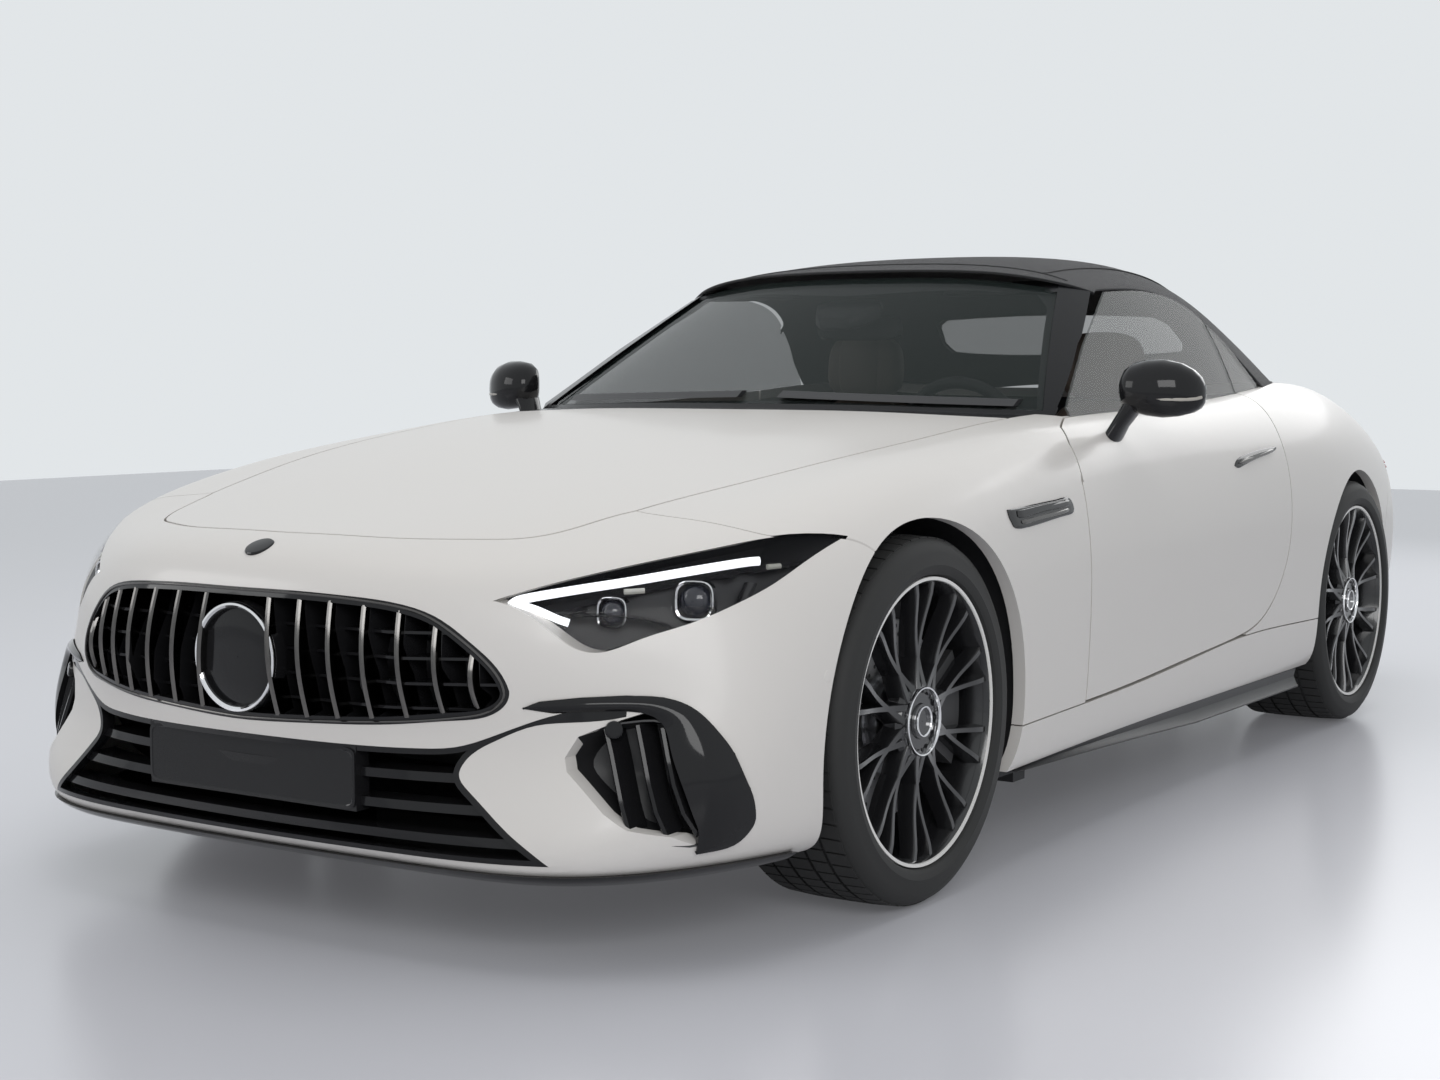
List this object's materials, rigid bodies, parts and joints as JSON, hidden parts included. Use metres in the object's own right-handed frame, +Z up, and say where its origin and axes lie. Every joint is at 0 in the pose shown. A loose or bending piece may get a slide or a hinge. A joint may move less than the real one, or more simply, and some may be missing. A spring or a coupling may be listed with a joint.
{
  "type": "roadster convertible",
  "caption": "Open sports car with a folding fabric roof, long bonnet, upright-bar grille, cross-spoke wheels and opening doors, bonnet and boot lid.",
  "frame": {"origin": "on the ground under the middle of the overall length and width", "axes": "+X towards the nose, +Y to the driver's left, +Z up"},
  "size_m": [4.6983, 2.1, 1.3598],
  "materials": {
    "paint_white": "satin pearl",
    "gloss_black": "gloss",
    "matte_black": "matt",
    "dark_chrome": "dark chrome",
    "fabric_black": "woven",
    "window_glass": "tinted",
    "lamp_glass": "clear",
    "tail_red": "gloss",
    "cabin_dark": "grained",
    "seat_leather": "smooth",
    "tub_metal": "primer",
    "tyre_rubber": "matt",
    "rim_black": "gloss",
    "disc_steel": "machined",
    "axle_iron": "cast",
    "engine_metal": "cast",
    "tip_chrome": "polished"
  },
  "bodies": {
    "body": {"body_tub": "tub_metal", "front_bumper": "paint_white", "splitter": "gloss_black", "grille": "dark_chrome", "lower_grille": "gloss_black", "side_intakes": "gloss_black", "headlamps": "lamp_glass", "wings": "paint_white", "sills": "paint_white", "side_skirts": "gloss_black", "quarter_panels": "paint_white", "deck_cover": "paint_white", "rear_bumper": "paint_white", "diffuser": "matte_black", "tail_lamps": "tail_red", "exhaust_tips": "tip_chrome", "windscreen_frame": "gloss_black", "windscreen": "window_glass", "soft_top": "fabric_black", "rear_glass": "window_glass", "dashboard": "cabin_dark", "seats": "seat_leather", "wipers": "matte_black", "engine": "engine_metal", "front_axle": "axle_iron", "rear_axle": "axle_iron"},
    "bonnet": {"bonnet": "paint_white"},
    "boot_lid": {"boot_lid": "paint_white"},
    "door_left": {"door_left": "paint_white", "door_glass_left": "window_glass", "mirror_left": "gloss_black"},
    "knuckle_left": {"knuckle_front_left": "axle_iron"},
    "wheel_front_left": {"tyre_front_left": "tyre_rubber", "rim_front_left": "rim_black", "brake_disc_front_left": "disc_steel"},
    "wheel_rear_left": {"tyre_rear_left": "tyre_rubber", "rim_rear_left": "rim_black", "brake_disc_rear_left": "disc_steel"},
    "door_right": {"door_right": "paint_white", "door_glass_right": "window_glass", "mirror_right": "gloss_black"},
    "knuckle_right": {"knuckle_front_right": "axle_iron"},
    "wheel_front_right": {"tyre_front_right": "tyre_rubber", "rim_front_right": "rim_black", "brake_disc_front_right": "disc_steel"},
    "wheel_rear_right": {"tyre_rear_right": "tyre_rubber", "rim_rear_right": "rim_black", "brake_disc_rear_right": "disc_steel"},
    "steering_wheel": {"steering_wheel": "cabin_dark"}
  },
  "joints": [
    {"name": "bonnet_hinge", "type": "hinge", "parent": "body", "child": "bonnet", "pos_m": [0.6125, 0, 0.935], "axis": [0, -1, 0], "range_deg": [0, 50]},
    {"name": "boot_lid_hinge", "type": "hinge", "parent": "body", "child": "boot_lid", "pos_m": [-1.5475, 0, 0.97], "axis": [0, 1, 0], "range_deg": [0, 80]},
    {"name": "door_left_hinge", "type": "hinge", "parent": "body", "child": "door_left", "pos_m": [0.7305, 0.922, 0.6], "axis": [0, 0, -1], "range_deg": [0, 70]},
    {"name": "door_right_hinge", "type": "hinge", "parent": "body", "child": "door_right", "pos_m": [0.7305, -0.922, 0.6], "axis": [0, 0, 1], "range_deg": [0, 70]},
    {"name": "steer_left", "type": "hinge", "parent": "body", "child": "knuckle_left", "pos_m": [1.4275, 0.76, 0.361], "axis": [0, 0, 1], "range_deg": [-35, 35]},
    {"name": "steer_right", "type": "hinge", "parent": "body", "child": "knuckle_right", "pos_m": [1.4275, -0.76, 0.361], "axis": [0, 0, 1], "range_deg": [-35, 35]},
    {"name": "steering_wheel_turn", "type": "hinge", "parent": "body", "child": "steering_wheel", "pos_m": [0.2025, 0.385, 0.862], "axis": [-0.9135, 0, 0.4067], "range_deg": [-490, 490]},
    {"name": "wheel_front_left_spin", "type": "hinge", "parent": "knuckle_left", "child": "wheel_front_left", "pos_m": [1.4275, 0.795, 0.361], "axis": [0, 1, 0], "continuous": true},
    {"name": "wheel_front_right_spin", "type": "hinge", "parent": "knuckle_right", "child": "wheel_front_right", "pos_m": [1.4275, -0.795, 0.361], "axis": [0, 1, 0], "continuous": true},
    {"name": "wheel_rear_left_spin", "type": "hinge", "parent": "body", "child": "wheel_rear_left", "pos_m": [-1.2725, 0.78, 0.357], "axis": [0, 1, 0], "continuous": true},
    {"name": "wheel_rear_right_spin", "type": "hinge", "parent": "body", "child": "wheel_rear_right", "pos_m": [-1.2725, -0.78, 0.357], "axis": [0, 1, 0], "continuous": true}
  ],
  "couplings": [
    {"joint": "steer_right", "follows": "steer_left", "ratio": 1},
    {"joint": "steering_wheel_turn", "follows": "steer_left", "ratio": 14}
  ]
}
